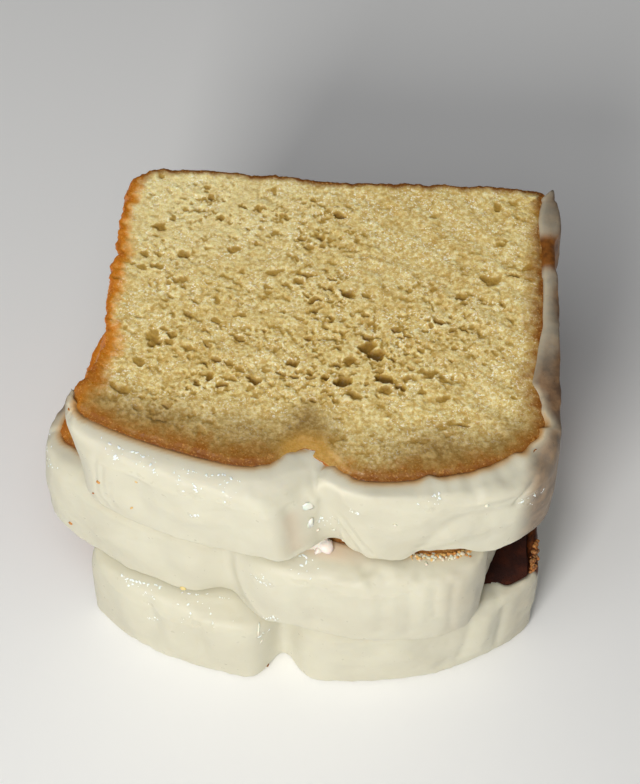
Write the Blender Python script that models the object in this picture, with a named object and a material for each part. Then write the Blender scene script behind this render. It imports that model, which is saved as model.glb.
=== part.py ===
"""Iced pound cake loaf: three thick slices of one loaf, still in order, lying flat on each other.

The loaf stands on its end here, so its length runs up +Z, its iced crown faces -Y and its flat
base faces +Y. Every slice is a solid of crumb and, round its crown and sides, a solid of icing.
Units are metres. The origin is under the middle of the stack, on the surface it stands on.
"""

import math
from typing import NamedTuple

import bpy
import bmesh
from mathutils import Matrix, Vector

# The loaf's cross-section. Its own frame has Y = 0 at the shoulders and +Y towards the base.
SLICE_THICKNESS = 0.026
TOUCHING_GAP = 0.0003  # left between solids that rest on each other
BASE_DEPTH = 0.0720  # shoulder line to base
WALL_HALF_WIDTH = 0.0521  # just under the shoulders
WALL_TAPER = 0.0008  # how much narrower each side is at the base
BASE_CORNER_LEFT = 0.0095  # radii of the corners at the base
BASE_CORNER_RIGHT = 0.0032
BASE_HOLLOW = 0.0009  # how far the middle of the base lifts off the tin
SHOULDER_FLARE_LENGTH = 0.011  # distance over which the crown's overhang fades down the wall
CROWN_ROUNDNESS = 2.4  # how long the top of the crown's arch stays level
CRACK_SHARPNESS = 1.35  # 1 is a pointed crack, 2 a soft valley
LOBE_BLEND = 0.010  # width over which the left lobe's height turns into the right one's
CUT_EDGE_INSET = 0.0003  # the crumb's worn edge at a cut face
CUT_EDGE_HEIGHT = 0.0009

# The icing.
ICING_THICKNESS = 0.0054  # from which its wall bulges and waves in full
ICING_TAIL = 0.0009  # where it ends
ICING_SHOULDER_FADE = 0.009  # distance over which it thins below a shoulder
ICING_BULGE = 0.0006  # how far its wall swells at mid thickness
ICING_TOP_RIM = 0.0026  # rounding at the upper cut
ICING_BOTTOM_RIM = 0.0012  # rounding at the lower cut
WAVE_HEIGHT = 0.0005
WAVE_LENGTH = 0.021

OUTLINE_SPACING = 0.0022
CORNER_SPACING = 0.0018
DENSE_STEPS = 400  # steps used to measure the crown's length

CRUMB_COLOUR = (0.62, 0.47, 0.17, 1.0)
ICING_COLOUR = (0.80, 0.76, 0.62, 1.0)


class Side(NamedTuple):
    """One side of a slice: its lobe from the crack to the shoulder, then the wall."""

    crown: float  # height of the lobe above the shoulder line
    slope: float  # how much of that height goes missing towards the shoulder
    fall: float  # 0.5 is a full round shoulder, and more falls away sooner
    crack: float  # half width of the crack on this side
    icing: float  # thickness over the lobe
    icing_fall: float  # as fall, for the icing's outer face
    shoulder_icing: float  # thickness at the shoulder
    wall_icing: float  # thickness down the wall
    icing_end: float  # distance down the wall where the icing stops
    flare: tuple = (0.0, 0.0)  # overhang of the shoulder past the wall


class Slice(NamedTuple):
    """What differs from slice to slice. A pair is (at the lower cut, at the upper cut)."""

    name: str
    place: tuple  # middle of the shoulder line, seen from above
    turn: float  # degrees, anticlockwise from above
    left: Side
    right: Side
    crack_at: tuple
    crack_depth: float
    groove_depth: float  # of the icing's valley over the crack
    groove_half_width: float
    wave_phase: float


SLICES = (
    Slice(
        name="bottom",
        place=(-0.0003, -0.0395),
        turn=-1.0,
        left=Side(
            crown=0.0088, slope=0.0, fall=0.80, crack=0.0050, icing=0.0098, icing_fall=0.80,
            shoulder_icing=0.0032, wall_icing=ICING_TAIL, icing_end=0.012, flare=(-0.0012, -0.0012),
        ),
        right=Side(
            crown=0.0116, slope=0.0, fall=0.90, crack=0.0050, icing=0.0068, icing_fall=0.80,
            shoulder_icing=0.0020, wall_icing=0.0020, icing_end=0.050,
        ),
        crack_at=(-0.0070, -0.0060),
        crack_depth=0.0080,
        groove_depth=0.0078,
        groove_half_width=0.0042,
        wave_phase=0.4,
    ),
    Slice(
        name="middle",
        place=(-0.0130, -0.0360),
        turn=-17.0,
        left=Side(
            crown=0.0085, slope=0.0, fall=0.5, crack=0.0080, icing=0.0088, icing_fall=0.45,
            shoulder_icing=0.0018, wall_icing=ICING_TAIL, icing_end=0.014,
        ),
        right=Side(
            crown=0.0092, slope=0.0, fall=0.60, crack=0.0055, icing=0.0094, icing_fall=0.5,
            shoulder_icing=0.0034, wall_icing=0.0018, icing_end=0.040, flare=(-0.0010, -0.0010),
        ),
        crack_at=(-0.0034, -0.0030),
        crack_depth=0.0085,
        groove_depth=0.0042,
        groove_half_width=0.0054,
        wave_phase=2.1,
    ),
    Slice(
        name="top",
        place=(0.0003, -0.0336),
        turn=-2.2,
        left=Side(
            crown=0.0174, slope=0.0066, fall=0.6, crack=0.0066, icing=0.0062, icing_fall=0.42,
            shoulder_icing=0.0014, wall_icing=ICING_TAIL, icing_end=0.004, flare=(0.0002, 0.0054),
        ),
        right=Side(
            crown=0.0172, slope=0.0, fall=0.66, crack=0.0046, icing=0.0038, icing_fall=0.42,
            shoulder_icing=0.0020, wall_icing=0.0018, icing_end=0.066,
        ),
        crack_at=(0.0042, -0.0014),
        crack_depth=0.0122,
        groove_depth=0.0062,
        groove_half_width=0.0068,
        wave_phase=3.7,
    ),
)


def side_of(cut, side):
    """side is -1 on the left and 1 on the right."""
    return cut.right if side > 0 else cut.left


def lerp(pair, share):
    return pair[0] + (pair[1] - pair[0]) * share


def smooth_step(value):
    value = min(1.0, max(0.0, value))
    return value * value * (3.0 - 2.0 * value)


def wall_half_width(cut, side, depth, share):
    """Half width at a distance below the shoulder line."""
    flare = lerp(side_of(cut, side).flare, share)
    fade = math.exp(-((depth / SHOULDER_FLARE_LENGTH) ** 2))
    return WALL_HALF_WIDTH + flare * fade - WALL_TAPER * depth / BASE_DEPTH


def crown_point(cut, angle, share, gap=0.0, iced=False):
    """Point of the crown at an angle from 0, the left shoulder, to pi, the right one.

    gap moves it outwards. iced gives the icing's outer face, where a shallow valley replaces the crack.
    """
    side = -1 if math.cos(angle) > 0 else 1
    half = wall_half_width(cut, side, 0.0, share) + gap + (side_of(cut, side).shoulder_icing if iced else 0.0)
    x = -half * math.cos(angle)
    reach = abs(x / half)
    crack = lerp(cut.crack_at, share)
    lobe = smooth_step((x - crack) / LOBE_BLEND + 0.5)
    heights = [at.crown - at.slope * reach + (at.icing if iced else 0.0) for at in (cut.left, cut.right)]
    fall = lerp([at.icing_fall if iced else at.fall for at in (cut.left, cut.right)], lobe)
    arch = max(0.0, 1.0 - reach**CROWN_ROUNDNESS) ** fall
    if iced:
        valley = cut.groove_depth * math.exp(-(((x - crack) / cut.groove_half_width) ** 2))
    else:
        half_crack = cut.left.crack if x < crack else cut.right.crack
        valley = cut.crack_depth * math.exp(-((abs(x - crack) / half_crack) ** CRACK_SHARPNESS))
    return Vector((x, -(lerp(heights, lobe) + gap) * arch + valley))


def crown_angles(cut, share):
    """Angles that space the crown's points evenly along it, crack included."""
    dense = [math.pi * i / DENSE_STEPS for i in range(DENSE_STEPS + 1)]
    points = [crown_point(cut, angle, share) for angle in dense]
    lengths = [0.0]
    for before, after in zip(points, points[1:]):
        lengths.append(lengths[-1] + (after - before).length)
    count = round(lengths[-1] / OUTLINE_SPACING)
    angles, at = [], 0
    for i in range(count + 1):
        wanted = lengths[-1] * i / count
        while at < DENSE_STEPS - 1 and lengths[at + 1] < wanted:
            at += 1
        part = (wanted - lengths[at]) / max(lengths[at + 1] - lengths[at], 1e-9)
        angles.append(dense[at] + (dense[at + 1] - dense[at]) * min(part, 1.0))
    return angles


def wall_depths(first, last):
    """Evenly spaced distances down a wall, the shoulder itself left out."""
    count = max(2, round((last - first) / OUTLINE_SPACING))
    return [first + (last - first) * i / count for i in range(1, count + 1)]


def base_corner(cut, side, share):
    """A quarter turn from the wall to the base, as points with +X outwards."""
    radius = BASE_CORNER_RIGHT if side > 0 else BASE_CORNER_LEFT
    middle = (wall_half_width(cut, side, BASE_DEPTH - radius, share) - radius, BASE_DEPTH - radius)
    steps = max(3, round(radius * math.pi / 2 / CORNER_SPACING))
    turns = [math.pi / 2 * i / steps for i in range(steps + 1)]
    return [Vector((middle[0] + radius * math.cos(a), middle[1] + radius * math.sin(a))) for a in turns]


def base_points(cut, share):
    """The right corner, the base and the left corner of the loaf's cross-section."""
    right = base_corner(cut, 1, share)
    left = [Vector((-point.x, point.y)) for point in reversed(base_corner(cut, -1, share))]
    start, end = right[-1], left[0]
    count = round((start - end).length / OUTLINE_SPACING)
    base = []
    for i in range(1, count):
        hollow = BASE_HOLLOW * math.sin(math.pi * i / count) ** 2
        base.append(start.lerp(end, i / count) - Vector((0.0, hollow)))
    return right + base + left


def crumb_outline(cut, angles, share):
    """Closed outline of the cake at a height, from the left shoulder over the crown and round."""
    crown = [crown_point(cut, angle, share) for angle in angles]
    down = wall_depths(0.0, BASE_DEPTH - BASE_CORNER_RIGHT)[:-1]
    up = reversed(wall_depths(0.0, BASE_DEPTH - BASE_CORNER_LEFT)[:-1])
    right = [Vector((wall_half_width(cut, 1, depth, share), depth)) for depth in down]
    left = [Vector((-wall_half_width(cut, -1, depth, share), depth)) for depth in up]
    return crown + right + base_points(cut, share) + left


def inset(outline, distance):
    """The closed outline moved inwards. It runs anticlockwise from above."""
    moved = []
    for i, point in enumerate(outline):
        along = (outline[(i + 1) % len(outline)] - outline[i - 1]).normalized()
        moved.append(point + Vector((-along.y, along.x)) * distance)
    return moved


def icing_thickness(cut, side, depth):
    """Thickness down a wall, from the shoulder's to the thin tail where it stops."""
    at = side_of(cut, side)
    fade = smooth_step(depth / min(ICING_SHOULDER_FADE, at.icing_end))
    tail = smooth_step((at.icing_end - depth) / ICING_SHOULDER_FADE) if side > 0 else 1.0
    return lerp((ICING_TAIL, lerp((at.shoulder_icing, at.wall_icing), fade)), tail)


def icing_stations(cut, angles):
    """(inner, outer) functions of the height share, from the left end of the icing to its right end."""

    def on_wall(side, depth):
        thickness = icing_thickness(cut, side, depth)

        def inner(share):
            return Vector((side * (wall_half_width(cut, side, depth, share) + TOUCHING_GAP), depth))

        def outer(share):
            return inner(share) + Vector((side * thickness, 0.0))

        return inner, outer

    def on_crown(angle):
        def inner(share):
            return crown_point(cut, angle, share, TOUCHING_GAP) + crack_clearance(cut, angle, share)

        def outer(share):
            return crown_point(cut, angle, share, TOUCHING_GAP, iced=True)

        return inner, outer

    left = [on_wall(-1, depth) for depth in reversed(wall_depths(0.0, cut.left.icing_end))]
    right = [on_wall(1, depth) for depth in wall_depths(0.0, cut.right.icing_end)]
    return left + [on_crown(angle) for angle in angles] + right


def crack_clearance(cut, angle, share):
    """Keeps the icing's inner face off the steep walls of the crack by the touching gap."""
    step = 1e-3
    before = crown_point(cut, max(0.0, angle - step), share)
    after = crown_point(cut, min(math.pi, angle + step), share)
    along = (after - before).normalized()
    steepness = abs(along.y) / max(abs(along.x), 0.25)
    return Vector((0.0, -TOUCHING_GAP * steepness * math.sin(angle) ** 0.5))


def rim_profile(thickness):
    """(share of thickness from the inner face, height) round the icing's band, as an open ring."""
    top = min(ICING_TOP_RIM, 0.6 * thickness)
    low = min(ICING_BOTTOM_RIM, 0.6 * thickness)
    soft = 1.0 - math.sqrt(0.5)
    full = SLICE_THICKNESS
    return (
        (0.0, 0.0),
        (0.0, full),
        (thickness - top, full),
        (thickness - soft * top, full - soft * top),
        (thickness, full - top),
        (thickness + ICING_BULGE * min(1.0, thickness / ICING_THICKNESS), full / 2),
        (thickness, low),
        (thickness - low, 0.0),
    )


def wave(cut, along, height):
    """Soft unevenness of the icing's wall, fading at the cuts."""
    belly = math.sin(math.pi * height / SLICE_THICKNESS)
    return WAVE_HEIGHT * belly * math.sin(2 * math.pi * along / WAVE_LENGTH + cut.wave_phase)


def loft(name, rings, closed):
    """Mesh object from rings of points with equal counts. A closed ring's ends are capped flat."""
    mesh = bmesh.new()
    rows = [[mesh.verts.new(point) for point in ring] for ring in rings]
    size = len(rows[0])
    for low, high in zip(rows, rows[1:]):
        for i in range(size if closed else size - 1):
            j = (i + 1) % size
            mesh.faces.new((low[i], low[j], high[j], high[i]))
    mesh.faces.new(list(reversed(rows[0])))
    mesh.faces.new(rows[-1])
    bmesh.ops.recalc_face_normals(mesh, faces=mesh.faces)
    data = bpy.data.meshes.new(name)
    mesh.to_mesh(data)
    mesh.free()
    return bpy.data.objects.new(name, data)


def make_crumb(cut, angles, material):
    """The slice's cake: its outline lofted through its thickness, cut faces flat."""
    edge = CUT_EDGE_HEIGHT
    levels = (
        (0.0, CUT_EDGE_INSET),
        (edge, 0.0),
        (SLICE_THICKNESS - edge, 0.0),
        (SLICE_THICKNESS, CUT_EDGE_INSET),
    )
    rings = []
    for height, worn in levels:
        outline = inset(crumb_outline(cut, angles, height / SLICE_THICKNESS), worn)
        rings.append([Vector((p.x, p.y, height)) for p in outline])
    return finish(loft(f"{cut.name}_slice_cake", rings, closed=True), material)


def make_icing(cut, angles, material):
    """The slice's icing: a band with rounded rims, lofted along the crown and down the walls."""
    rings = []
    along = 0.0
    last = None
    for inner, outer in icing_stations(cut, angles):
        middle = inner(0.5)
        along += (middle - last).length if last else 0.0
        last = middle
        thickness = (outer(0.5) - middle).length
        ring = []
        for out, height in rim_profile(thickness):
            share = height / SLICE_THICKNESS
            start, end = inner(share), outer(share)
            reach = out / thickness
            if reach > 0.9:
                reach += wave(cut, along, height) * min(1.0, thickness / ICING_THICKNESS) / thickness
            point = start + (end - start) * reach
            ring.append(Vector((point.x, point.y, height)))
        rings.append(ring)
    return finish(loft(f"{cut.name}_slice_icing", rings, closed=True), material)


def finish(piece, material):
    piece.data.materials.append(material)
    piece.data.shade_smooth()
    piece.data.set_sharp_from_angle(angle=math.radians(35))
    return piece


def make_material(name, colour, roughness):
    material = bpy.data.materials.new(name)
    material.use_nodes = True
    shader = material.node_tree.nodes["Principled BSDF"]
    shader.inputs["Base Color"].default_value = colour
    shader.inputs["Roughness"].default_value = roughness
    shader.inputs["Metallic"].default_value = 0.0
    material.diffuse_color = colour
    return material


def footprint_middle(pieces):
    """Middle of the box round all pieces, seen from above."""
    corners = [piece.matrix_basis @ vertex.co for piece in pieces for vertex in piece.data.vertices]
    xs = [corner.x for corner in corners]
    ys = [corner.y for corner in corners]
    return Vector(((min(xs) + max(xs)) / 2, (min(ys) + max(ys)) / 2, 0.0))


def main():
    for obj in list(bpy.data.objects):
        bpy.data.objects.remove(obj)
    loaf = bpy.data.collections.new("pound_cake_loaf")
    bpy.context.scene.collection.children.link(loaf)
    crumb = make_material("crumb", CRUMB_COLOUR, 0.85)
    icing = make_material("icing", ICING_COLOUR, 0.30)

    pieces = []
    for level, cut in enumerate(SLICES):
        angles = crown_angles(cut, 0.5)
        height = level * (SLICE_THICKNESS + TOUCHING_GAP)
        place = Matrix.Translation((*cut.place, height)) @ Matrix.Rotation(math.radians(cut.turn), 4, "Z")
        for piece in (make_crumb(cut, angles, crumb), make_icing(cut, angles, icing)):
            piece.matrix_basis = place
            loaf.objects.link(piece)
            pieces.append(piece)

    stack = bpy.data.objects.new("stack", None)
    loaf.objects.link(stack)
    stack.location = -footprint_middle(pieces)
    for piece in pieces:
        piece.parent = stack


main()
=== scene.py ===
"""Looks of the iced pound cake loaf: three thick slices that lie on each other.

Each slice's cake and icing replace the frame's plain solids. They are shaped in the slice's own frame, in
millimetres: u runs across the loaf, v from the shoulder line to the base, and w up from the lower cut.
"""

import math

import bmesh
import bpy
import numpy as np
from mathutils import Matrix, Vector
from mathutils.geometry import delaunay_2d_cdt
from mathutils.kdtree import KDTree


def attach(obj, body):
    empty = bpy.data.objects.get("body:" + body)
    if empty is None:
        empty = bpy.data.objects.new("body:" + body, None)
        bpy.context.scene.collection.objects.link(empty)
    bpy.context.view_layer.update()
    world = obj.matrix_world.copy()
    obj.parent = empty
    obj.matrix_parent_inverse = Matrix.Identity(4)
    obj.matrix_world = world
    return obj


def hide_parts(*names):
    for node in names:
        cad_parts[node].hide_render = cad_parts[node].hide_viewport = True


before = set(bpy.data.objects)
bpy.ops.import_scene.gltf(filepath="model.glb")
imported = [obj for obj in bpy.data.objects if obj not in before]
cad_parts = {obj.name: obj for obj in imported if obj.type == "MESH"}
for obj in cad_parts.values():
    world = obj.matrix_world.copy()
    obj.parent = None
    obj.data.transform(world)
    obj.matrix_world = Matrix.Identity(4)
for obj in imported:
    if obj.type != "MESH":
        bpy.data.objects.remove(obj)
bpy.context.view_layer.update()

MM = 0.001

# ---- the slices

BASE_V = 72  # the loaf's base, from the shoulder line
THICKNESS = 26
TURNS = {"bottom": -1, "middle": -17, "top": -2.2}  # degrees, anticlockwise from above
CRACK_TIP = {"bottom": (-6, -0.4), "middle": (-3, -0.6), "top": (-1.4, -4.2)}
FACE_SPACING = {"bottom": 0.85, "middle": 0.85, "top": 0.37}  # between points of the cut faces
EDGE_SPACING = {"bottom": 0.6, "middle": 0.6, "top": 0.37}
SIDE_SPACING = {"bottom": 0.9, "middle": 0.9, "top": 1.35}
LAP_REACH = {"bottom": 1.4, "middle": 0.8, "top": 0.4}  # how far the icing laps over the crumb's rim

ICING_VOXEL = {"bottom": 0.6, "middle": 0.6, "top": 0.5}
ICING_RING_SPACING = 0.5
LOWER_FACE_SPACING = 1.3

# How far the strip of icing on the top slice's right wall laps over the crumb: v, and the reach there.
RIGHT_LAPS = (
    (2, 8, 11, 14, 18, 24, 30, 38, 50, 56, 62, 70),
    (2.6, 1.3, 2.2, 4.4, 3.8, 2.6, 1, 0.2, 0.2, 1.4, 2.2, 1.8),
)

# Layers of pores in the crumb: grid cell, chance, radii, stretch, and shares of depth, painted shade and rim.
PORES = (
    (2, 0.42, (0.36, 0.6), 1.35, (0.45, 0.45, 0.5)),
    (3.4, 0.42, (0.5, 0.9), 1.4, (0.85, 0.95, 0.8)),
    (7.4, 0.45, (0.8, 1.4), 1.4, (1.3, 1.5, 1)),
)

# Cavities that stand out on the top slice: u, v, half length, half width, depth, lean in degrees.
CAVITIES = (
    (9.6, 21.6, 2.4, 1.7, 1.5, 20),
    (11.6, 19.4, 2.1, 1.1, 2.9, 8),
    (0.1, 12.4, 1.4, 1.2, 2.2, 60),
    (4.9, 11.4, 1.9, 1.4, 2.6, 30),
    (13.6, 12.9, 2.6, 1.2, 2.7, -15),
    (17.6, 10.4, 1.7, 0.9, 2, -40),
    (24.6, 15, 2.3, 0.9, 1.2, 10),
    (27.6, 8.6, 2, 1, 1.4, 5),
    (-46, 6, 3.3, 1.4, 1.6, -35),
    (-15.8, 10.9, 2.1, 1.3, 1.9, -15),
    (-25.6, 11, 1.1, 0.9, 1.5, 0),
    (-23.1, 8.6, 1.5, 1, 1.5, -20),
    (38.8, 65, 1, 1.5, 1.9, 10),
    (32, 1.3, 2.3, 1, 1.8, -5),
    (29.3, -1.2, 1.9, 0.6, 1, 0),
    (-39.5, 20.5, 2.4, 0.9, 1.4, -40),
    (-13.2, 42, 1.9, 1, 1.2, 10),
    (43.2, 44.7, 1.3, 1, 1.6, 0),
    (31.2, 37.8, 1.6, 0.9, 1.3, 15),
    (-43, 69, 1, 1.2, 1.7, 0),
    (-38.4, 56.5, 1.2, 0.9, 1, 0),
    (-36, -2.2, 2.4, 0.8, 1.1, -8),
    (-6.8, 11.8, 1, 0.7, 1.1, 0),
    (-19.6, 21.5, 1.2, 0.9, 1.3, -30),
    (48.6, 31, 1, 0.6, 1, 0),
)

# How the icing's front was worked: height, half width, then u and w of each point of the stroke's path.
ICING_STROKES = {
    "top": (
        (0.75, 1.1, -1.4, 25, 1.2, 17, 4.3, 10.5, 7.2, 4, 9.6, 0.5),
        (-0.55, 0.9, 0.6, 24, 3.3, 16, 6.5, 9, 9.4, 3),
        (0.45, 0.8, 3.2, 19, 6.6, 11, 10.4, 5, 13, 1),
        (-0.35, 0.7, 5.6, 16, 9.6, 8, 13, 3),
        (-0.6, 2.2, -5.4, 21, -4.4, 12, -3.6, 3),
        (0.55, 2.6, -10.5, 19, -9, 10, -8, 2),
        (-0.42, 1.9, 23.5, 2, 26, 10, 28.8, 15.6, 34, 18.4, 40, 17.8, 47.5, 18.2),
        (0.6, 3.2, 31, 11, 37, 12.4, 45, 12),
        (-0.22, 1.6, 30, 22.5, 36, 21.4, 43, 21.6),
        (0.4, 2.8, 13, 14, 19, 15, 24, 18.5),
        (-0.75, 1, 45.4, 18.6, 46.8, 22.4, 48.6, 25.2),
        (0.7, 1.7, 38, 24.8, 43.6, 25, 47.6, 25.6),
        (-0.3, 0.5, -49.8, 24, -50.4, 16, -49.2, 8, -47, 3),
        (-0.28, 0.5, -48.2, 22, -48.9, 14, -47.4, 7.5),
        (-0.22, 0.5, -46.6, 15, -46.9, 9, -45.2, 4.5),
        (0.5, 3.2, -34, 12, -26, 14),
        (-0.45, 2.6, -40.5, 20, -39.5, 8),
        (-0.3, 2.4, -20, 18, -18, 7),
    ),
    "middle": (
        (0.55, 1.2, -1, 25, -0.2, 15, 3.6, 6, 8, 2),
        (-0.55, 1.6, -4.6, 24, -3.4, 14, -0.4, 5),
        (-0.16, 1.2, 29, 23, 30.4, 12),
        (-0.2, 1.3, 33.8, 24, 35, 12, 34.6, 5),
        (0.16, 1.1, 37, 22, 38.2, 6),
        (-0.26, 1.1, 40, 25, 41.2, 14, 41, 5),
        (0.16, 1, 43.4, 24, 43.8, 10),
        (-0.26, 0.9, 45.6, 25, 46.4, 12),
        (-0.3, 0.9, 49.4, 25, 50, 4),
        (0.35, 3, -36, 10, -28, 12),
        (-0.35, 2.6, -20, 22, -18, 6),
        (-0.35, 2.2, 17, 18, 19, 6),
    ),
    "bottom": (
        (-0.8, 1.8, -39.6, 24, -38, 15, -40, 4),
        (0.6, 2.6, -45.6, 22, -45, 8),
        (0.55, 2.4, -33.6, 20, -34, 6),
        (-0.6, 1.6, -26.5, 22, -26, 6),
        (0.18, 0.5, -28.6, 26, -28.2, 20),
        (0.2, 0.5, -25.9, 26, -25.5, 18.5),
        (0.16, 0.5, -23.4, 26, -22.8, 20.5),
        (0.5, 3, 20, 16, 30, 8),
        (-0.5, 1.4, 38.6, 24, 36.6, 6),
        (0.45, 1.8, 42.6, 22, 41, 6),
        (-0.5, 1.2, 46.4, 22, 45.6, 5),
    ),
}

# Wet, glittering places on the icing's front, also dotted with painted glints: u, w, radius.
WET_SPOTS = {
    "top": (
        (-46, 25.2, 3), (-38.5, 25, 4.5), (-28, 24.6, 4), (-20, 25, 4), (-27.5, 15, 1.6),
        (2.5, 12, 3), (26, 24.6, 2.6), (49, 18, 3), (9, 20.6, 1.5),
    ),
    "middle": ((15.5, 24.5, 3.6), (6.5, 19, 3.4), (-52, 24, 3), (9, 3, 2)),
    "bottom": ((-40.5, 25.4, 4.6), (-27, 25.2, 6.5), (-44, 25, 3), (-39, 16, 1.8), (-11.6, 20, 1.8)),
}
# Painted warm shade in the hollow beside the crack, on the top slice: u and w along its path.
SHADED_HOLLOW_PATH = (-5.2, 17, -4.4, 11, -3.8, 5)  # warmer hollow beside the crack, on the top slice


# ---- colours and noise

def srgb(*values):
    """Linear colour of three 0 to 255 values, as a picture shows them."""
    parts = [value / 255 for value in values]
    return (*(part / 12.92 if part <= 0.04045 else ((part + 0.055) / 1.055) ** 2.4 for part in parts), 1)


def smooth(value):
    """Soft step from 0 at 0 to 1 at 1."""
    value = np.clip(value, 0, 1)
    return value * value * (3 - 2 * value)


def ease(value, start, width):
    """Soft step: 0 at the start, and 1 that width further on."""
    return smooth((value - start) / width)


def bell(value, middle, reach):
    """Soft bump: 1 at the middle, fading over the reach."""
    return np.exp(-(((value - middle) / reach) ** 2))


def near(flat, spot, reach):
    """Soft round bump about a spot."""
    return bell(np.linalg.norm(flat - spot, axis=1), 0, reach)


def blob(flat, middle, reach):
    """Soft oval bump, with a reach for each direction."""
    across, along = (((flat - middle) / reach) ** 2).T
    return np.exp(-across - along)


def lattice(x, y, z, seed):
    """Repeatable numbers from 0 to 1 at whole-number grid points."""
    mixed = (x * 73856093) ^ (y * 19349663) ^ (z * 83492791) ^ (seed * 40503 + 977)
    mixed &= 0xFFFFFFFF
    mixed = ((mixed ^ (mixed >> 15)) * 2246822519) & 0xFFFFFFFF
    mixed = ((mixed ^ (mixed >> 13)) * 3266489917) & 0xFFFFFFFF
    return ((mixed ^ (mixed >> 16)) & 0xFFFFFF) / 0xFFFFFF


def noise(points, size, seed):
    """Smooth noise from -1 to 1 whose features are about that size."""
    scaled = points / size
    cell = np.floor(scaled).astype(np.int64)
    part = scaled - cell
    part = part * part * (3 - 2 * part)
    total = np.zeros(len(points))
    for corner in np.ndindex(2, 2, 2):
        weight = np.where(corner, part, 1 - part).prod(axis=1)
        total += weight * lattice(*(cell + corner).T, seed)
    return 2 * total - 1


def layered(points, size, seed, layers=3, gain=0.5):
    """Noise with finer and fainter noise over it, still about -1 to 1."""
    total, weight = np.zeros(len(points)), 1
    for layer in range(layers):
        total += weight * noise(points, size / 2.03**layer, seed + 17 * layer)
        weight *= gain
    return total * 1.3


def oval(away, half_length, half_width, lean):
    """How far points lie from an oval's middle: 1 on its edge."""
    along = away[:, 0] * np.cos(lean) + away[:, 1] * np.sin(lean)
    across = away[:, 1] * np.cos(lean) - away[:, 0] * np.sin(lean)
    return np.hypot(along / half_length, across / half_width)


def pits(flat, cell, chance, radii, stretch, lean, seed):
    """Scattered oval pits, one at most in each cell of a grid: (depth, painted shade, pale near rim)."""
    base = np.floor(flat / cell).astype(np.int64)
    depth, shade, rim = np.zeros((3, len(flat)))
    for step in np.ndindex(3, 3):
        x, y = (base + np.array(step) - 1).T
        draw = [lattice(x, y, np.full_like(x, k), seed) for k in range(6)]
        middle = np.stack([x + draw[0], y + draw[1]], axis=1) * cell
        radius = radii[0] + (radii[1] - radii[0]) * draw[2] ** 2
        deep = (draw[4] < chance) * (0.55 + 0.45 * draw[5]) * radius / radii[1]
        shape = (radius * stretch, radius, lean + 1.4 * (draw[3] - 0.5))
        depth, shade, rim = deepened((depth, shade, rim), flat - middle, shape, deep)
    return depth, shade, rim


def deepened(hollows, away, shape, deep):
    """The hollows (depth, painted shade, pale near rim) with one more, steep towards the crown."""
    depth, shade, rim = hollows
    far = oval(away, *shape)
    behind = (0.33 * away[:, 0] + 0.94 * away[:, 1]) / shape[1]
    own = deep * smooth((1.1 - far) / (0.34 + 0.5 * smooth(0.5 + 0.7 * behind)))
    # Painted shade: the pit darkens most on its near side, towards the key light, where its wall faces away
    # from that light.
    own_shade = own * (0.4 + 0.6 * smooth(0.95 - 0.85 * behind))
    # Pale rim only on the near side, towards the key light: pale crumb, partly painted light.
    own_rim = (deep > 0) * smooth(0.6 - 0.6 * behind) * bell(far, 1.22, 0.24)
    return np.maximum(depth, own), np.maximum(shade, own_shade), np.maximum(rim, own_rim)


def rounded(path, rounds=2):
    """The open path, u and w in turn, as points that bend softly."""
    path = np.array(path, dtype=float).reshape(-1, 2)
    for _ in range(rounds):
        early, late = 0.75 * path[:-1] + 0.25 * path[1:], 0.25 * path[:-1] + 0.75 * path[1:]
        path = np.vstack([path[:1], np.stack([early, late], axis=1).reshape(-1, 2), path[-1:]])
    return path


def stroke(flat, path, reach):
    """Closeness to a softly bent line: 1 on it, fading over the reach."""
    nearest = np.full(len(flat), np.inf)
    path = rounded(path)
    for start, end in zip(path, path[1:]):
        along = end - start
        share = np.clip(((flat - start) @ along) / (along @ along), 0, 1)
        nearest = np.minimum(nearest, np.linalg.norm(flat - start - share[:, None] * along, axis=1))
    return bell(nearest, 0, reach)


# ---- the frame's solids, in a slice's own frame

def slice_matrix(name):
    """Takes the row frame's metres into the slice's own millimetres."""
    points = mesh_points(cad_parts[f"{name}_slice_cake"].data)
    back = Matrix.Rotation(-math.radians(TURNS[name]), 4, "Z")
    turned = points @ np.array(back)[:3, :3].T
    base = turned[:, 1].max()
    walls = turned[turned[:, 1] > base - 0.4 * BASE_V * MM][:, 0]
    middle = (walls.min() + walls.max()) / 2
    shift = Matrix.Translation((-middle, BASE_V * MM - base, -turned[:, 2].min()))
    return Matrix.Scale(1 / MM, 4) @ shift @ back


def raised(flat, height):
    """The flat points with a height, or one for each."""
    return np.column_stack([flat, np.zeros(len(flat)) + height])


def mesh_points(data):
    points = np.empty(len(data.vertices) * 3)
    data.vertices.foreach_get("co", points)
    return points.reshape(-1, 3)


def new_object(name, data):
    """The mesh, camera or light as an object in the scene."""
    made = bpy.data.objects.new(name, data)
    bpy.context.scene.collection.objects.link(made)
    return made


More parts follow.
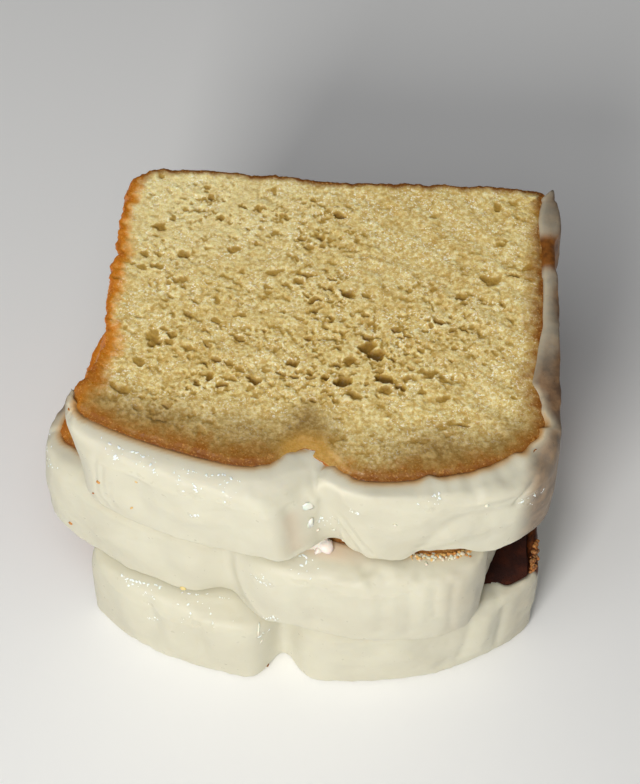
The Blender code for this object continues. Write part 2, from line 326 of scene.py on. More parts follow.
def cut_outline(name, matrix, upper, spacing):
    """Outline of a slice's cake at a cut face: an even, softened ring, anticlockwise."""
    mesh = bmesh.new()
    mesh.from_mesh(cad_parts[f"{name}_slice_cake"].data)
    bmesh.ops.remove_doubles(mesh, verts=mesh.verts, dist=1e-6)
    mesh.transform(matrix)
    level = THICKNESS if upper else 0

    def in_cut(face):
        return all(abs(vert.co.z - level) < 0.01 for vert in face.verts)

    follows = {}
    for face in filter(in_cut, mesh.faces):
        for loop in face.loops:
            if not all(map(in_cut, loop.edge.link_faces)):
                start, end = loop.vert, loop.link_loop_next.vert
                follows[start if upper else end] = end if upper else start
    start = min(follows, key=lambda vert: vert.co.x - vert.co.y)
    ring, at = [tuple(start.co.xy)], follows[start]
    while at is not start:
        ring.append(tuple(at.co.xy))
        at = follows[at]
    mesh.free()
    ring = soften_ring(spread_ring(np.array(ring), spacing), 0.8 / spacing)
    if name == "top":
        # The right lip of the crack stands steeper.
        ring[:, 0] -= 2.9 * blob(ring, (1.8, -8.6), (2.4, 3))
        ring[:, 1] -= 2.6 * near(ring, CRACK_TIP[name], 2.6)
    return ring


def spread_ring(ring, spacing=None, count=None):
    """The closed ring again, with its points evenly spread along it."""
    closed = np.vstack([ring, ring[:1]])
    lengths = np.concatenate([[0], np.cumsum(np.linalg.norm(np.diff(closed, axis=0), axis=1))])
    count = count or round(lengths[-1] / spacing)
    wanted = np.arange(count) * lengths[-1] / count
    return np.stack([np.interp(wanted, lengths, closed[:, axis]) for axis in range(2)], axis=1)


def soften_ring(ring, reach):
    """The closed ring with its kinks rounded over that many points."""
    span = np.arange(-int(3 * reach), int(3 * reach) + 1)
    weights = np.exp(-0.5 * (span / reach) ** 2)
    weights /= weights.sum()
    return sum(weight * np.roll(ring, -step, axis=0) for step, weight in zip(span, weights))


def ring_normals(ring):
    """Outward unit normals of a ring that runs anticlockwise."""
    along = np.roll(ring, -1, axis=0) - np.roll(ring, 1, axis=0)
    along /= np.linalg.norm(along, axis=1)[:, None]
    return np.stack([along[:, 1], -along[:, 0]], axis=1)


def nearest_on_ring(ring, points):
    """(index of the ring's nearest point, distance to it) for each point."""
    tree = KDTree(len(ring))
    for index, (x, y) in enumerate(ring):
        tree.insert((x, y, 0), index)
    tree.balance()
    indices, distances = zip(*[tree.find((x, y, 0))[1:] for x, y in points[:, :2].tolist()])
    return np.array(indices), np.array(distances)


# ---- meshes

def make_object(name, points, faces, matrix, material, attributes):
    """Mesh object in the row frame from points in a slice's own frame, with values for its colours."""
    data = bpy.data.meshes.new(name)
    back = np.array(matrix.inverted())
    data.from_pydata((points @ back[:3, :3].T + back[:3, 3]).tolist(), [], faces)
    data.validate()
    for key, values in attributes.items():
        layer = data.attributes.new(key, "FLOAT", "POINT")
        layer.data.foreach_set("value", np.float32(np.zeros(len(points)) + values))
    data.materials.append(material)
    data.shade_smooth()
    return new_object(name, data)


def inside_ring(ring, point):
    """Whether a point lies inside, by how often a line from it crosses the ring."""
    after = np.roll(ring, -1, axis=0)
    spans = (ring[:, 1] > point[1]) != (after[:, 1] > point[1])
    start, along = ring[spans], (after - ring)[spans]
    crossing = start[:, 0] + (point[1] - start[:, 1]) * along[:, 0] / along[:, 1]
    return np.count_nonzero(crossing > point[0]) % 2 == 1


def fill_ring(ring, spacing, seed):
    """Points and triangles that fill a ring, off any grid. The ring's own points come first."""
    draws = np.random.default_rng(seed)
    low, high = ring.min(axis=0), ring.max(axis=0)
    columns = np.arange(low[0], high[0], spacing)
    rows = np.arange(low[1], high[1], spacing * math.sqrt(0.75))
    grid = np.stack(np.meshgrid(columns, rows), axis=-1)
    grid[1::2, :, 0] += spacing / 2
    inner = grid.reshape(-1, 2)
    inner = inner + draws.uniform(-0.28, 0.28, inner.shape) * spacing
    nearest, distance = nearest_on_ring(ring, inner)
    inside = ((inner - ring[nearest]) * ring_normals(ring)[nearest]).sum(axis=1) < 0
    inner = inner[inside & (distance > 0.62 * spacing)]
    points = [Vector(point) for point in np.vstack([ring, inner]).tolist()]
    flat, _, faces, origin, _, _ = delaunay_2d_cdt(points, [], [list(range(len(ring)))], 1, 1e-7, True)
    used = {corner for face in faces for corner in face}
    order = sorted(used, key=lambda corner: (origin[corner][0], corner))
    place = {corner: index for index, corner in enumerate(order)}
    filled = np.array([tuple(flat[corner]) for corner in order])
    faces = np.array([[place[corner] for corner in face] for face in faces])
    # In the outline's hollows, triangles between its own points lie outside it.
    doubtful = (faces < len(ring)).all(axis=1)
    middles = filled[faces].mean(axis=1)
    kept = [not doubt or inside_ring(ring, middle) for doubt, middle in zip(doubtful, middles)]
    return filled, [tuple(face) for face in faces[kept].tolist()]


# ---- cake

def crust_look(name, ring):
    """(width in mm, warmth, nearness to the crack) of the browned band along a cut face's outline.

    Warmth is 1 for a moist orange crust, as on the left wall, and 0 for a dull deep brown.
    """
    across, along = ring_normals(ring).T
    left, right, crown, base = (np.clip(side, 0, 1) ** 2 for side in (-across, across, -along, along))
    width = 4 * left + 7 * right + 1.9 * base + 7 * crown
    flare = ease(ring[:, 1], 18, -10) * left
    width += 3 * flare
    spots = raised(ring, 5 * len(name))
    width *= 1 + 0.28 * layered(spots, 9, 31) + 0.12 * layered(spots, 3, 32, 2)
    crack = near(ring, CRACK_TIP[name], 8)
    width *= 1 - 0.45 * crack
    warmth = left * (1 - 0.35 * flare) + 0.2 * crown + 0.1 * right + 0.15 * crack
    return np.maximum(width, 0.8), np.clip(warmth, 0, 1), crack


def crumb_relief(name, flat, edge_distance, seed):
    """(height in mm, painted shade in the pores, rim, level of the grain) of a cut face."""
    u, v = flat.T
    solid = raised(flat, 3.7 * seed)
    warped = flat
    for share, size, start in ((0.95, 2.2, 1), (0.45, 0.8, 3)):
        bend = [noise(solid, size, seed + start + axis) for axis in range(2)]
        warped = warped + share * np.stack(bend, axis=1)
    lean = -0.2 + 0.4 * noise(solid, 30, seed + 5)

    openness = 0.35 + 0.65 * smooth(edge_distance / 11)
    openness *= 0.85 + 0.5 * layered(solid, 15, seed + 6, 2)
    if name == "top":
        openness *= 1 - 0.6 * blob(flat, (26, 56), (24, 18))
        openness += 0.35 * blob(flat, (8, 14), (26, 9))
    openness = np.clip(openness, 0.12, 1.35)

    patch = 0.35 + 0.65 * ease(layered(solid, 5, seed + 15, 2), -0.15, 0.5)
    crumbs = ease(noise(solid, 0.85, seed + 13), 0.15, 0.4) * patch
    grain = 0.65 * noise(solid, 0.9, seed + 10) + 0.55 * noise(solid, 1.5, seed + 17)
    level = np.clip(0.75 * grain + 0.8 * crumbs - 0.25, -1, 1)
    torn_open, in_front = (
        ease(layered(solid - shift, 1.9, seed + 14, 3, 0.6), 0.38, 0.24)
        for shift in ((0, 0, 0), (0.25, 0.75, 0))
    )
    hollows = np.zeros((3, len(flat)))
    for layer, (cell, chance, radii, stretch, shares) in enumerate(PORES):
        found = pits(warped, cell, chance, radii, stretch, lean, seed + 7 + layer)
        hollows += np.array(found) * np.array(shares)[:, None]
    depth, shade, rim = hollows
    depth += 0.34 * torn_open
    # Painted shade in the torn hollows too, heaviest at their near edge.
    shade += 0.34 * torn_open * (0.3 + 0.7 * (1 - in_front))
    if name == "top":
        for at_u, at_v, half_length, half_width, deep, tilt in CAVITIES:
            shape = (half_length, half_width, math.radians(tilt))
            depth, shade, rim = deepened((depth, shade, rim), warped - (at_u, at_v), shape, 0.9 * deep)
    depth, pore_shade, rim = 0.72 * depth * openness, shade * openness, np.minimum(rim, 1) * openness
    rim *= ease(grain, -0.5, 0.8)

    torn = (0.15 * grain + 0.15 * crumbs) * (0.55 + 0.45 * openness)
    lumps = 0.15 * layered(solid, 3.4, seed + 11, 2)
    wave = 0
    if name == "top":
        phase = (u * 0.55 + v * 0.83) / 7.5 + 0.35 * noise(solid, 18, seed + 12)
        wave = 0.12 * np.sin(2 * math.pi * phase) * ease(u, -10, 40)
    return -depth + torn + lumps + wave + 0.07 * rim, pore_shade, rim, level


def gap_shade_mask(flat):
    """How much painted shade darkens the right end of the bottom slice, which lies in the gap's shadow."""
    return ease(flat[:, 0], 37, 4) * ease(flat[:, 1], 22, -8)


def dressed_face(name, flat, ring, outline, upper, seed):
    """(height in mm, values for the colours) of a cut face's points."""
    u, v = flat.T
    nearest, distance = nearest_on_ring(ring, flat)
    width, warmth, crack = crust_look(name, outline)
    height, pore_shade, rim, level = crumb_relief(name, flat, distance, seed + (40 if upper else 60))
    spots = raised(flat, 0)
    brown = np.clip(1 - distance / width[nearest], 0, 1)
    brown *= 1 - 0.92 * smooth(2.2 * crack[nearest])
    brown = np.clip(brown + 0.12 * layered(spots, 1.6, seed + 33) * smooth(5 * brown), 0, 1)
    jelly = smooth(brown * 1.8) * warmth[nearest]
    height = height * (1 - 0.45 * smooth(brown * 1.6)) + 0.3 * jelly * layered(spots, 2, seed + 34, 2)
    crown = outline[ring_normals(outline)[:, 1] < -0.15]
    crown = crown[np.argsort(crown[:, 0])]
    # Darker towards the front crust.
    front_darkening = smooth((18 - v + np.interp(u, *crown.T) + 2.5 * noise(spots, 9, seed + 35)) / 13)
    if name == "top":
        front_darkening *= 1 - 0.55 * bell(u, 9, 9)
    look = {
        "brown": brown,
        "warmth": warmth[nearest],
        "moist": smooth(1.8 * crack[nearest]) * bell(distance, 0, 4),
        "front_darkening": front_darkening,
        # Painted light: paler towards the back left of the cut face.
        "back_left_light": ease(v, 26, 44) * ease(u, 14, -50),
        "pore_shade": pore_shade,
        "rim": rim,
        "level": level,
        # Painted shade of the gap, on the bottom slice's upper face.
        "gap_shade": gap_shade_mask(flat) * (name == "bottom" and upper),
    }
    return height * smooth(distance / 0.5), look


def make_cake(name, matrix, material, seed):
    """Cake of one slice: two cut faces of crumb, joined by walls of browned crust."""
    upper = cut_outline(name, matrix, True, EDGE_SPACING[name])
    lower = spread_ring(cut_outline(name, matrix, False, EDGE_SPACING[name]), count=len(upper))
    count = len(upper)
    normals = ring_normals(upper)
    left, base = np.clip(-normals[:, 0], 0, 1), np.clip(normals[:, 1], 0, 1)

    def wall_ring(height):
        """The cake's outline at a height, roughened by the crust's lumps and pits."""
        ring = lower + (upper - lower) * height / THICKNESS
        solid = raised(ring, height)
        bump = (0.14 + 0.24 * left + 0.1 * base) * layered(solid, 1.7, seed + 20, 3, 0.65)
        bump += (0.12 + 0.42 * left + 0.2 * base) * layered(solid, 6.5, seed + 21, 2)
        edge_wear = 0.35 * bell(min(height, THICKNESS - height), 0, 0.45)
        return ring + normals * (bump - edge_wear)[:, None]

    top_ring, bottom_ring = wall_ring(THICKNESS), wall_ring(0)
    top, top_faces = fill_ring(top_ring, FACE_SPACING[name], seed + 30)
    bottom, bottom_faces = fill_ring(bottom_ring, LOWER_FACE_SPACING, seed + 31)
    top_height, top_look = dressed_face(name, top, top_ring, upper, True, seed)
    bottom_height, bottom_look = dressed_face(name, bottom, bottom_ring, lower, False, seed)

    # Where icing covers the rim of the upper face, the crumb sinks a little below it.
    u, v = top.T
    iced = ease(v, 2, -3)
    if name == "top":
        iced = np.maximum(iced, ease(u, 42, 5))
        iced = np.maximum(iced, ease(u, -50, -3) * ease(v, 5.5, -2.5))
    _, rim_distance = nearest_on_ring(top_ring, top)
    covered = iced * ease(rim_distance, 2.7, -1.1)
    top_height = top_height * (1 - covered) - (0.5 + 0.45 * ease(rim_distance, 1.4, -1.1)) * covered
    if name == "top":
        smeared = ease(u, 42, 3) * ease(v, 34, -4)
        top_height = top_height * (1 - 0.7 * smeared) - 0.15 * smeared
    if name == "bottom":
        under = ease(u, -14, -6) * ease(v, 9, -4)
        top_height -= 1.3 * under * ease(rim_distance, 9, -3)

    levels = [0.4]
    while levels[-1] < THICKNESS - 1.4:
        levels.append(levels[-1] + SIDE_SPACING[name])
    levels += [THICKNESS - 0.4]
    points = [raised(top, THICKNESS + np.minimum(top_height, 0.35))]
    points.append(raised(bottom, np.maximum(-bottom_height, 0)))
    for height in levels:
        dip = 0.75 * covered[:count] * smooth((height - THICKNESS + 2) / 1.6)
        points.append(raised(wall_ring(height), height - dip))
    starts = np.cumsum([len(part) for part in points]).tolist()

    # The walls run from the lower face's rim, the first points there, up to the upper face's.
    faces = top_faces + [tuple(corner + starts[0] for corner in reversed(face)) for face in bottom_faces]
    rows = starts[:-1] + [0]
    for low, high in zip(rows, rows[1:]):
        for i, j in zip(range(count), [*range(1, count), 0]):
            faces.append((low + i, low + j, high + j, high + i))

    side = dict.fromkeys(top_look, np.zeros(count))
    side["brown"], side["warmth"] = np.ones(count), crust_look(name, upper)[1]
    # Painted shade of the gap on the bottom slice's walls too.
    side["gap_shade"] = gap_shade_mask(upper) * (name == "bottom")
    attributes = {
        key: np.concatenate([top_look[key], bottom_look[key]] + [side[key]] * len(levels)) for key in side
    }
    attributes["wall"] = np.repeat([0, 1], [len(top) + len(bottom), count * len(levels)])
    return make_object(f"{name}_cake", np.vstack(points), faces, matrix, material, attributes)


# ---- icing

def remeshed(node, matrix, voxel):
    """Points and faces of a node's solid, evenly remeshed and softened."""
    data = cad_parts[node].data.copy()
    data.transform(matrix)
    piece = new_object("remesh", data)
    piece.modifiers.new("weld", "WELD").merge_threshold = 0.001
    remesh = piece.modifiers.new("remesh", "REMESH")
    remesh.mode, remesh.voxel_size = "VOXEL", voxel
    relax = piece.modifiers.new("relax", "SMOOTH")
    relax.factor, relax.iterations = 0.5, 6
    bpy.context.view_layer.update()
    evaluated = piece.evaluated_get(bpy.context.evaluated_depsgraph_get())
    result = evaluated.to_mesh()
    points, faces = mesh_points(result), np.array([tuple(face.vertices) for face in result.polygons])
    evaluated.to_mesh_clear()
    bpy.data.objects.remove(piece)
    bpy.data.meshes.remove(data)
    return points, faces


def quad_normals(points, faces):
    """Unit normals at the points of a mesh of four-sided faces."""
    first, second, third, fourth = points[faces.T]
    cross = np.cross(third - first, fourth - second)
    sums = [np.bincount(faces.ravel(), np.repeat(row, 4), len(points)) for row in cross.T]
    normals = np.stack(sums, axis=1)
    return normals / np.maximum(np.linalg.norm(normals, axis=1), 1e-12)[:, None]


def relaxed(points, faces, weights, rounds):
    """The points drawn towards their neighbours' middle, each by its own weight, again and again."""
    start, end = faces.ravel(), np.roll(faces, -1, axis=1).ravel()
    size = len(points)
    count = np.bincount(start, minlength=size) + np.bincount(end, minlength=size)
    for _ in range(rounds):
        sums = [np.bincount(start, row[end], size) + np.bincount(end, row[start], size) for row in points.T]
        middles = np.stack(sums, axis=1) / count[:, None]
        points = points + 0.6 * weights[:, None] * (middles - points)
    return points


def make_icing(name, matrix, material, seed):
    """Icing of one slice: softened solid, worked front, rounded rim and a fine lap over the crumb."""
    tip = CRACK_TIP[name]
    points, faces = remeshed(f"{name}_slice_icing", matrix, ICING_VOXEL[name])
    u, v, w = points.T
    soft = ease(v, 2, -3) * ease(w, 1.5, 4)
    soft *= ease(np.linalg.norm(points[:, :2] - tip, axis=1), 2, 5)
    points = relaxed(points, faces, soft, 24)
    notch = near(points[:, :2], (tip[0] + 1, -13), 9)
    points = relaxed(points, faces, soft * notch, 50)
    u, v, w = points.T
    if name == "top":
        # The left end reaches up the wall, and the strip on the right wall almost to the base.
        v += 1.6 * ease(u, -50, -4) * ease(v, -11, 8)
        v += 6 * ease(u, 44, 5) * ease(v, 46, 20)
    normals = quad_normals(points, faces)

    # Depth is how far a point stands out from the cake's wall, and thickness how far the icing does there.
    ring = cut_outline(name, matrix, True, ICING_RING_SPACING)
    lower = spread_ring(cut_outline(name, matrix, False, ICING_RING_SPACING), count=len(ring))
    nearest, _ = nearest_on_ring((ring + lower) / 2, points)
    wall = lower[nearest] + (ring - lower)[nearest] * (w / THICKNESS)[:, None]
    out = ring_normals(soften_ring(ring, 4))[nearest]
    depth = ((points[:, :2] - wall) * out).sum(axis=1)
    thickness = np.zeros(len(ring))
    np.maximum.at(thickness, nearest, depth)
    thickness = np.maximum.reduce([np.roll(thickness, shift) for shift in range(-3, 4)])[nearest]

    # The outer side swells and dips, with the strokes of the knife on its front.
    outer = smooth((depth - 0.45 * thickness) / (0.4 * thickness))
    facing = np.clip((normals[:, :2] * out).sum(axis=1), 0, 1)
    full = ease(thickness, 1, 3)
    front = ease(v, 3, -3)
    right_wall = ease(u, 40, 8) * ease(v, 2, 6)
    across = points[:, (0, 2)]
    swell = full * (0.34 * layered(points, 14, seed, 2) + 0.12 * layered(points, 5.5, seed + 1, 2))
    swell += (0.05 + 0.2 * (1 - full)) * layered(points, 2.6, seed + 2, 2)
    for height, reach, *path in ICING_STROKES[name]:
        swell += front * height * stroke(across, path, reach)
    swell += 0.22 * ease(w, 2.2, -1.6) * layered(points * (1, 1, 0), 2.4, seed + 7, 2)
    bare = 0
    if name == "top":
        bare = right_wall * smooth((6.6 - np.abs(v - 52.3) + noise(points, 2.5, seed + 12)) / 3)
        swell += 0.9 * right_wall * bell(v, 62, 5.5) - 1.1 * bare
    swell = np.maximum(swell, 0.35 - depth)
    left_end = v - v[u < -40].max() + 0.8 * noise(points * (0, 0, 1), 5, seed + 10)
    fading = ease(left_end, -3.5, 3.5) * (u < -30)
    swell -= 0.8 * fading * np.maximum(depth + swell, 0)
    points = points + normals * (outer * facing * swell)[:, None]

    # The cut rim starts level with the crumb, slopes outward and rounds over into the wall.
    u, v, w = points.T
    top_face = ease(normals[:, 2], 0.25, 0.4) * ease(w, 21, 2)
    near_tip = near(points[:, :2] - tip, (0.5, -3.5), 3.5)
    top_face = np.maximum(top_face, smooth(2 * near_tip) * ease(w, 22.5, 1.5))
    inner_part = 1 - ease(depth / thickness.clip(0.5), 0.35, 0.5)
    w += top_face * inner_part * (THICKNESS - 0.03 - w)
    rise = ease(w, 18.5, 7) * front * full
    edge_in = np.clip((2.4 - (thickness - depth)) / 2.4, 0, 1)
    w -= rise * (0.3 * np.clip(depth, 0, 7) + 0.7 * (1 - np.sqrt(1 - edge_in**2)))
    lumpy = 0.16 + 0.34 * ease(u, 18, 12)
    lumps = lumpy * layered(points, 5, seed + 3, 2) + 0.04 * noise(points, 1.3, seed + 4)
    w += top_face * smooth(depth / 2) * lumps
    if name == "top":
        # The lower rim arches up under the crack and to the right of it.
        arch = 2.1 * bell(u, 0.2, 5) + 3.4 * ease(u, 20, 5) * ease(u, 39, -6)
        w += arch * front * ease(depth, 0.8, 1.5) * ease(w, 9, -9)
    points = relaxed(points, faces, 0.9 * notch, 10)
    u, v, w = points.T
    if name == "top":
        # The fuller foot of the icing's left end.
        u -= 2.4 * blob(points[:, :2], (-50, -6), (6, 8)) * outer * ease(w, 16, -12)
        u += 0.3 * ease(u, -49, -4) * ease(v, -13, 7) * outer

    # The inner rim thins out over the crust, down through the crumb's face, in an uneven line.
    band = np.minimum(2.4 + 3 * near(points[:, :2] - tip, (0.5, -4.5), 4.5), 0.75 * thickness)
    lap = np.clip((band - depth) / band, 0, 1) * ease(w, THICKNESS - 2.6, 1.4)
    reach = LAP_REACH[name] + 0.55 * layered(points * (1, 1, 0), 4, seed + 5, 2, 0.5)
    least = 0.9
    if name == "bottom":
        right_end = ease(u, 44, 4)
        reach += 3.4 * ease(u, -16, -6) - 3 * right_end
        least = 0.9 - 2.4 * right_end
    if name == "top":
        front_right = ease(u, 16, 12) * front
        reach += front_right * (1 + 1.6 * noise(points * (1, 1, 0), 4.5, seed + 9))
        reach += right_wall * (np.interp(v, *RIGHT_LAPS) - reach)
        reach += 0.6 * ease(u, -50, -4) * ease(v, -12, 8)
        reach += 2.4 * blob(points[:, :2], (-7.4, -11), (3.6, 3))
    reach = np.clip(reach, least, 7)
    drawn_in = lap * (0.8 * band + reach + 1.2)
    depth = depth - drawn_in
    points[:, :2] -= out * drawn_in[:, None]
    if name == "top":
        end_lift = 0.3 * ease(u, -50, -3) * ease(v, -5, 4)
        w += smooth(3 * lap) * (0.35 * right_wall + 0.45 * front_right + end_lift)
    w -= 1.7 * smooth(3 * lap) * ease(-depth, reach, 1.9)
    apex = near(points[:, :2] - tip, (0.5, -1.5), 4)
    points = relaxed(points, faces, apex * ease(w, 20, 3), 40)

    wet = np.zeros(len(points))
    for at_u, at_w, radius in WET_SPOTS[name]:
        far = np.hypot(across[:, 0] - at_u, (across[:, 1] - at_w) * 1.6) / radius
        wet = np.maximum(wet, outer * (1 - 0.8 * top_face) * front * bell(far, 0, 1))
    points += normals * (wet * (0.16 * layered(points, 1.6, seed + 8, 2, 0.6)))[:, None]
    u, v, w = points.T
    # Painted shade at the right end of the icing's front, where the key light from the left falls off.
    side_thin_and_shade = (0.85 if name == "top" else 0.15) * ease(u, 44.5, 6)
    blush_and_shade = painted_top_light = gap_shade = clean = 0
    if name == "top":
        # The top slice's right wall: crust brown under thinner icing, with painted shade below its top edge
        # and towards the front.
        wall_thin_and_shade = 0.6 + 0.4 * ease(w, THICKNESS + 0.2, -1.2) + 0.4 * ease(v, 30, -20)
        side_thin_and_shade += right_wall * (np.minimum(wall_thin_and_shade, 1) - side_thin_and_shade)
        # Top slice: painted warm shade in the hollow beside the crack.
        blush_and_shade = 0.55 * front * outer * stroke(across, SHADED_HOLLOW_PATH, 1.8)
        # Painted light on the icing's upward face, towards the left of the front.
        painted_top_light = top_face * front * ease(u, 14, -8)
        painted_top_light *= 1 - ease(depth / thickness.clip(0.5), 0.45, 0.35)
        clean = 0.7 * right_wall
    if name == "middle":
        # Middle slice: a pinkish tint where the icing is thinner near the crumb.
        blush_and_shade = bell(u, 19, 8) * top_face * front * ease(depth, 5, -3)
    if name == "bottom":
        np.maximum(w, 0, out=w)
        # Painted shade of the gap on the bottom icing's rim at the right end.
        gap_shade = smooth((v + 0.4 + noise(points, 1.6, seed + 11)) / 1.6) * ease(w, 22.8, 1.6)
        gap_shade *= ease(u, 44, 4)
        clean = 1
    attributes = {
        "inner": np.exp(-np.clip(depth + reach, 0, 20) / 1.1) * ease(w, 23, 2) * (1 - clean),
        "blush_and_shade": blush_and_shade,
        "painted_top_light": painted_top_light,
        "bare": bare,
        "gap_shade": gap_shade,
        # Crust brown under thinner icing, with painted shade at the right end.
        "thin_and_shade": np.maximum(1 - ease(thickness, 1.5, 1.6), side_thin_and_shade),
        "wet": wet,
    }
    return make_object(f"{name}_icing", points, faces.tolist(), matrix, material, attributes)


# ---- small bits that lie on the icing

def lump(middle, axes, roughness, seed):
    """Points and faces of a small uneven lump with three half axes."""
    ball = bmesh.new()
    sizes = np.linalg.norm(np.array(axes), axis=1)
    bmesh.ops.create_icosphere(ball, subdivisions=2 if sizes[0] < 0.8 else 4, radius=1)
    points = np.array([tuple(vert.co) for vert in ball.verts])
    if roughness > 0.3 and sizes[2] < 0.35 * max(sizes):
        # A thin bit is a flake with corners.
        points = np.sign(points) * np.abs(points) ** 0.8
    ball.verts.index_update()
    faces = [tuple(vert.index for vert in face.verts) for face in ball.faces]
    ball.free()
    points = points * (1 + roughness * layered(points + 7.3 * seed, 0.9, seed, 2))[:, None]
    return points @ np.array(axes) + np.array(middle), faces


def surface_frame(host, matrix, spot, lean):
    """(point, along, across, normal) on a piece's surface nearest to a spot, or straight ahead without v."""
    back = matrix.inverted()
    if spot[1] is None:
        start, ahead = back @ Vector((spot[0], -60, spot[2])), back.to_3x3() @ Vector((0, 1, 0))
        _, point, normal, _ = host.ray_cast(start, ahead)
    else:
        _, point, normal, _ = host.closest_point_on_mesh(back @ Vector(spot))
    normal = (matrix.to_3x3() @ normal).normalized()
    side = Vector((0, 0, 1)).cross(normal) if abs(normal.z) < 0.9 else Vector((1, 0, 0))
    side = (side - normal * side.dot(normal)).normalized()
    along = Matrix.Rotation(lean, 3, normal) @ side
    return matrix @ point, along, normal.cross(along), normal


def make_bits(name, hosts, matrices, bits, keys, material):
    """One piece of lumps. Each bit is slice, (u, v, w), half sizes, lean in degrees, roughness, values."""
    points, faces, attributes = [], [], {key: [] for key in keys}
    for index, (where, spot, sizes, lean, roughness, values) in enumerate(bits):
        point, *axes = surface_frame(hosts[where], matrices[where], spot, math.radians(lean))
        back = matrices[where].inverted()
        middle = back @ (point + axes[2] * (0.25 * sizes[2]))
        axes = [back.to_3x3() @ (axis * size) for axis, size in zip(axes, sizes)]
        own_points, own_faces = lump(middle, axes, roughness, index + 1)
        faces += [tuple(corner + len(points) for corner in face) for face in own_faces]
        points += own_points.tolist()
        for key in keys:
            attributes[key] += [values.get(key, 0)] * len(own_points)
    return make_object(name, np.array(points), faces, Matrix.Identity(4), material, attributes)


# ---- materials

class Nodes:
    """Short calls that add and join a material's shader nodes. Colours are 0 to 255 values."""

    def __init__(self, name):
        self.material = bpy.data.materials.new(name)
        self.material.use_nodes = True
        self.tree = self.material.node_tree
        self.shader = self.tree.nodes["Principled BSDF"]

    def link(self, value, socket):
        if isinstance(value, bpy.types.NodeSocket):
            self.tree.links.new(value, socket)
        else:
            socket.default_value = value

    def add(self, kind, inputs=None, output=0, **settings):
        node = self.tree.nodes.new("ShaderNode" + kind)
        for key, value in settings.items():
            setattr(node, key, value)
        for key, value in (inputs or {}).items():
            self.link(value, node.inputs[key])
        return node.outputs[output]

    def attribute(self, key):
        return self.add("Attribute", output="Fac", attribute_name=key)

    def noise(self, size, detail=3, roughness=0.55):
        """Noise texture whose features are about that many millimetres."""
        place = self.add("TexCoord", output="Object")
        inputs = {"Vector": place, "Scale": 1 / (size * MM), "Detail": detail, "Roughness": roughness}
        return self.add("TexNoise", inputs, output="Fac")

    def math(self, operation, first, second):
        return self.add("Math", {0: first, 1: second}, operation=operation)

    def scaled(self, key, share):
        return self.math("MULTIPLY", self.attribute(key), share)

    def spread(self, value, low, high, out_low=0, out_high=1):
        """The value's stretch from low to high, laid over another and held beyond."""
        inputs = {0: value, 1: low, 2: high, 3: out_low, 4: out_high}
        return self.add("MapRange", inputs, clamp=True)

    def mix(self, share, first, second):
        """The first colour with a share of the second; each is a socket or three values."""
        first, second = (srgb(*colour) if isinstance(colour, tuple) else colour for colour in (first, second))
        return self.add("Mix", {0: share, 6: first, 7: second}, 2, data_type="RGBA")

    def tint(self, body, mask, low, high, share, *colour):
        """The body with up to that share of a colour over it, where the mask is high."""
        return self.mix(self.spread(mask, low, high, 0, share), body, colour)

    def between(self, mask, low, high, first, second):
        """The first colour where the mask is low, the second where it is high."""
        return self.mix(self.spread(mask, low, high), first, second)

    def ramp(self, value, *stops):
        """Colours along a value. Each stop is a position and a colour."""
        colours = self.add("ValToRGB", {0: value})
        elements = colours.node.color_ramp.elements
        while len(elements) < len(stops):
            elements.new(0.5)
        for element, (position, *colour) in zip(elements, stops):
            element.position = position
            element.color = srgb(*colour)
        return colours

    def bump(self, height, strength, distance_mm, normal=None):
        inputs = {"Height": height, "Strength": strength, "Distance": distance_mm * MM}
        if normal is not None:
            inputs["Normal"] = normal
        return self.add("Bump", inputs, output="Normal")

    def finish(self, inputs):
        """The material, with values or sockets for the shader's own inputs."""
        for key, value in inputs.items():
            self.link(value, self.shader.inputs[key])
        return self.material


